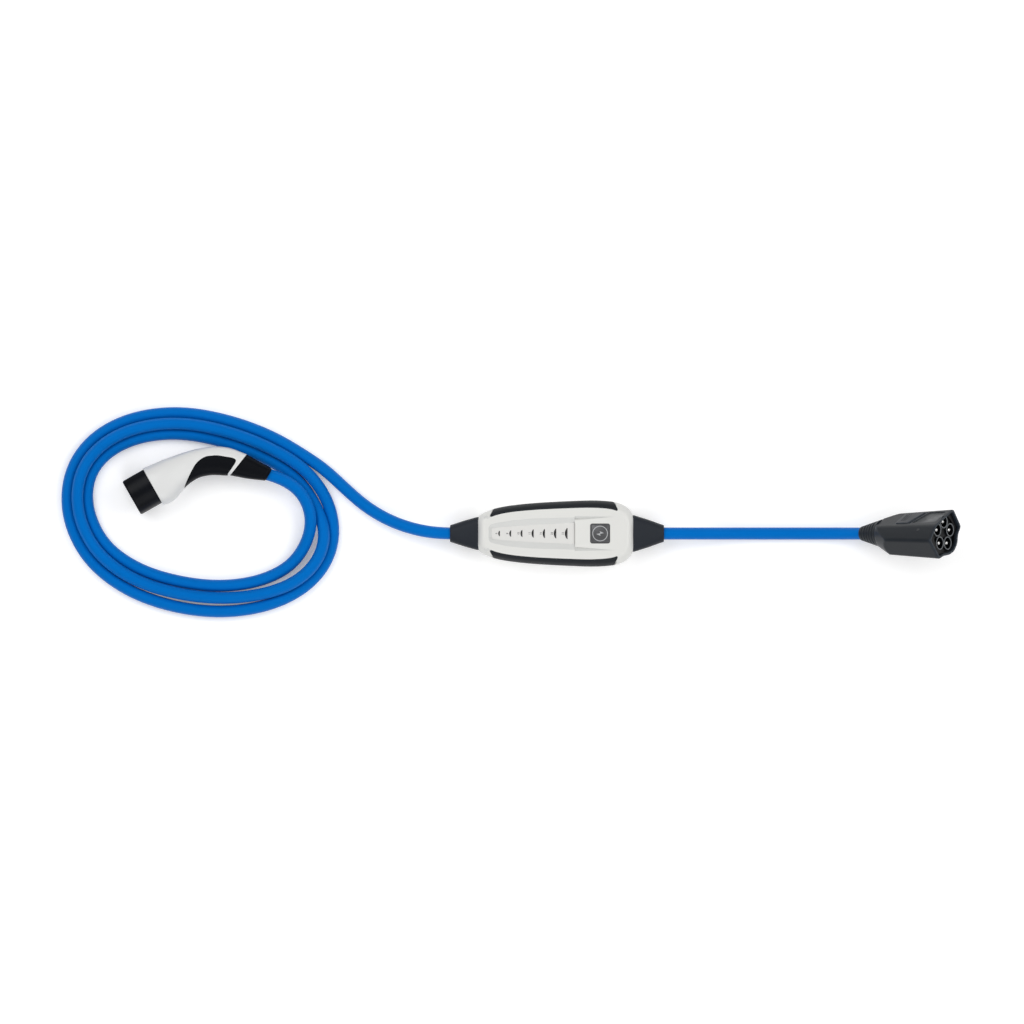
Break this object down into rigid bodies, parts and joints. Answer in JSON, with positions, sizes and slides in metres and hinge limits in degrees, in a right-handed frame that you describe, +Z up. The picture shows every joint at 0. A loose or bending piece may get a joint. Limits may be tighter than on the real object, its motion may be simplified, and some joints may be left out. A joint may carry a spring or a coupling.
{
  "type": "portable ev charger",
  "caption": "Control box with rubber boots, a coiled blue vehicle lead ending in a bent car connector, and a short supply lead ending in a pin coupler.",
  "frame": {"origin": "on the supporting surface, under the middle of the control box with its boots", "axes": "+X along the box towards the supply lead, +Y towards the coil's far side, +Z up out of the box's top"},
  "size_m": [1.3051, 0.3055, 0.1422],
  "materials": {
    "housing_white": "satin moulded polycarbonate, fine grain",
    "panel_grey": "smooth light grey panel",
    "mark_black": "dark clear windows over the lamps",
    "touch_grey": "smooth dark touch plate",
    "grip_dark": "soft moulded side grips",
    "boot_rubber": "matt moulded rubber",
    "seal_black": "soft seal cord",
    "cable_blue": "blue cable jacket, faint extrusion grain",
    "connector_white": "satin white shells",
    "connector_black": "smooth black plastic",
    "insert_black": "soft black grip",
    "carrier_black": "glass filled black plastic",
    "coupler_grey": "fine grained dark plastic",
    "contact_silver": "silver plated contacts",
    "screw_steel": "zinc plated steel",
    "board_green": "green printed board",
    "component_black": "moulded component cases",
    "capacitor_blue": "sleeved aluminium cans",
    "terminal_grey": "grey terminal blocks",
    "core_brown": "insulated cores",
    "lamp_white": "small lamps"
  },
  "bodies": {
    "root": {"lower_shell": "housing_white", "upper_shell": "housing_white", "housing_seal": "seal_black", "grip_strip_left": "grip_dark", "grip_strip_right": "grip_dark", "vehicle_boot": "boot_rubber", "supply_boot": "boot_rubber", "indicator_panel": "panel_grey", "current_marks": "mark_black", "touch_plate": "touch_grey", "led_board": "board_green", "leds": "lamp_white", "main_board": "board_green", "phase_relays": "component_black", "mains_supply_block": "component_black", "capacitors": "capacitor_blue", "fault_current_sensor": "component_black", "vehicle_terminals": "terminal_grey", "supply_terminals": "terminal_grey", "vehicle_cores": "core_brown", "supply_cores": "core_brown", "vehicle_cable_clamp": "carrier_black", "supply_cable_clamp": "carrier_black", "clamp_screws": "screw_steel", "board_screws": "screw_steel", "housing_screws": "screw_steel", "connector_shell_upper": "connector_white", "connector_shell_lower": "connector_white", "connector_grip_insert": "insert_black", "connector_sleeve": "connector_black", "contact_carrier": "carrier_black", "power_contacts": "contact_silver", "pilot_contacts": "contact_silver", "connector_screws": "screw_steel", "connector_boot": "insert_black", "coupler_housing": "coupler_grey", "coupler_latch_cover": "coupler_grey", "coupler_boot": "coupler_grey", "pin_carrier": "carrier_black", "coupler_pins": "contact_silver", "coupler_screw": "screw_steel", "vehicle_cable": "cable_blue", "supply_cable": "cable_blue"}
  },
  "joints": []
}
